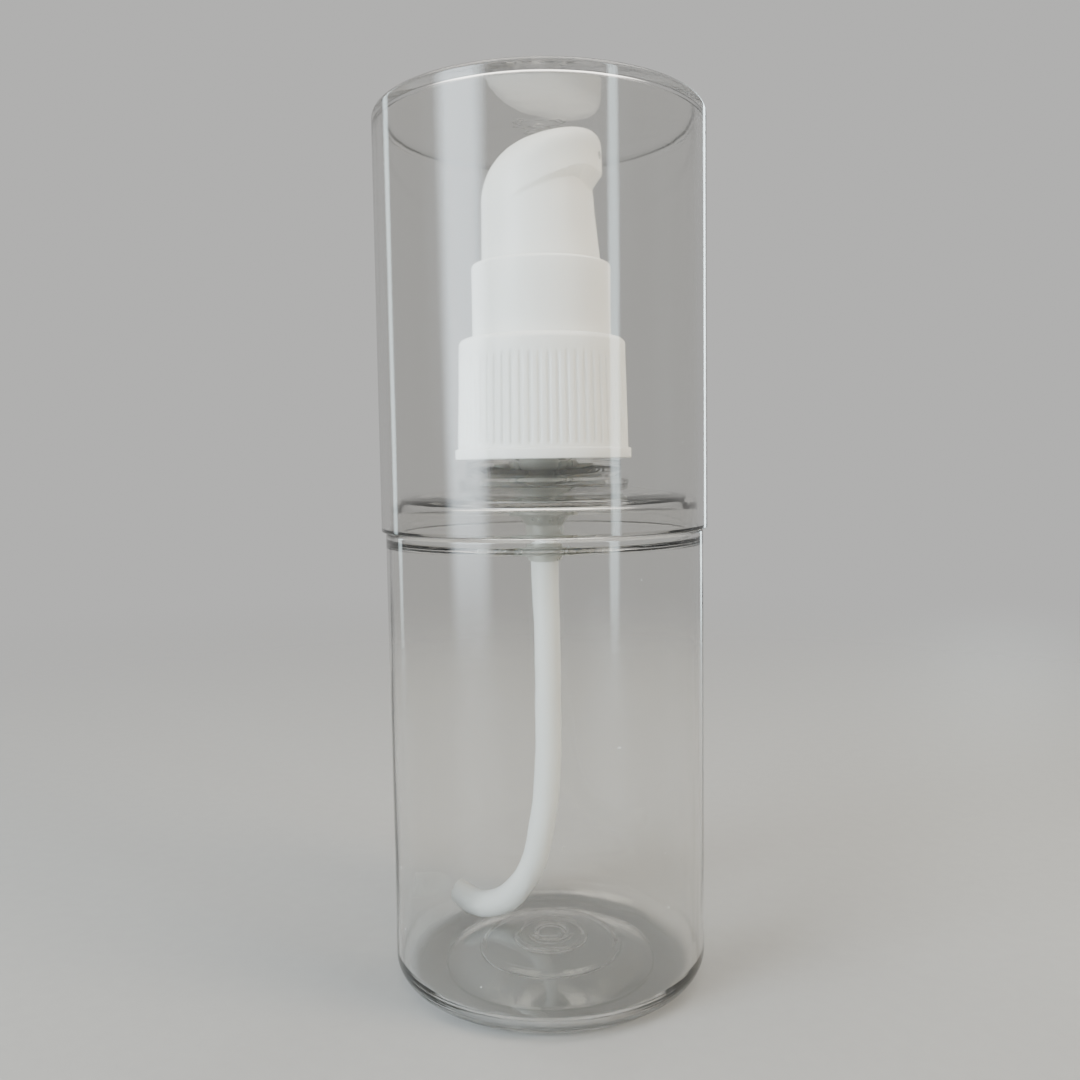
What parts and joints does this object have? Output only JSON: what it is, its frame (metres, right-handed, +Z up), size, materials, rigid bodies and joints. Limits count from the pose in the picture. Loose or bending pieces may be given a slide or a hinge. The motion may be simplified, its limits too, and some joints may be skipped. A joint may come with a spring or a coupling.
{
  "type": "travel bottle with treatment pump",
  "caption": "Small clear cylindrical travel bottle with a white finger pump, ribbed screw closure, curled dip tube and clear full overcap.",
  "frame": {"origin": "centre of the base, on the surface that the bottle stands on", "axes": "+Z up along the bottle's axis, +X towards the spout"},
  "size_m": [0.047, 0.047, 0.123],
  "materials": {
    "clear_bottle": "clear, polished, faintly warm",
    "clear_cap": "clear, polished, faintly hazed",
    "white_pp": "white, satin moulded",
    "natural_pp": "natural translucent",
    "milky_tube": "milky translucent, smooth extruded",
    "gasket_foam": "white foamed liner",
    "steel": "bright stainless"
  },
  "bodies": {
    "bottle": {"bottle": "clear_bottle"},
    "pump_engine": {"pump_housing": "natural_pp", "lock_ring": "white_pp", "neck_gasket": "gasket_foam", "dip_tube": "milky_tube", "return_spring": "steel"},
    "closure": {"closure": "white_pp"},
    "plunger": {"stem": "white_pp", "piston_seat": "white_pp"},
    "actuator": {"actuator": "white_pp"},
    "piston": {"piston": "natural_pp"},
    "inlet_ball": {"inlet_ball": "steel"},
    "overcap": {"overcap": "clear_cap"}
  },
  "joints": [
    {"name": "pump_rise", "type": "slide", "parent": "bottle", "child": "pump_engine", "axis": [0, 0, 1], "range_m": [0, 0.0048]},
    {"name": "closure_unscrew", "type": "hinge", "parent": "pump_engine", "child": "closure", "pos_m": [0, 0, 0.084], "axis": [0, 0, 1], "range_deg": [0, 540]},
    {"name": "head_press", "type": "slide", "parent": "pump_engine", "child": "plunger", "axis": [0, 0, -1], "range_m": [0, 0.0045], "stiffness_N_per_m": 1200, "springref_m": -0.004, "deforming": ["return_spring"]},
    {"name": "head_swivel", "type": "hinge", "parent": "plunger", "child": "actuator", "pos_m": [0, 0, 0.105], "axis": [0, 0, 1], "continuous": true},
    {"name": "piston_travel", "type": "slide", "parent": "pump_engine", "child": "piston", "axis": [0, 0, -1], "range_m": [0, 0.0039]},
    {"name": "ball_lift", "type": "slide", "parent": "pump_engine", "child": "inlet_ball", "axis": [0, 0, 1], "range_m": [0, 0.0005]},
    {"name": "overcap_lift", "type": "slide", "parent": "pump_engine", "child": "overcap", "axis": [0, 0, 1], "range_m": [0, 0.06]}
  ],
  "couplings": [
    {"joint": "pump_rise", "follows": "closure_unscrew", "m_per_rad": 0.00050532},
    {"joint": "piston_travel", "follows": "head_press", "ratio": 0.85}
  ]
}
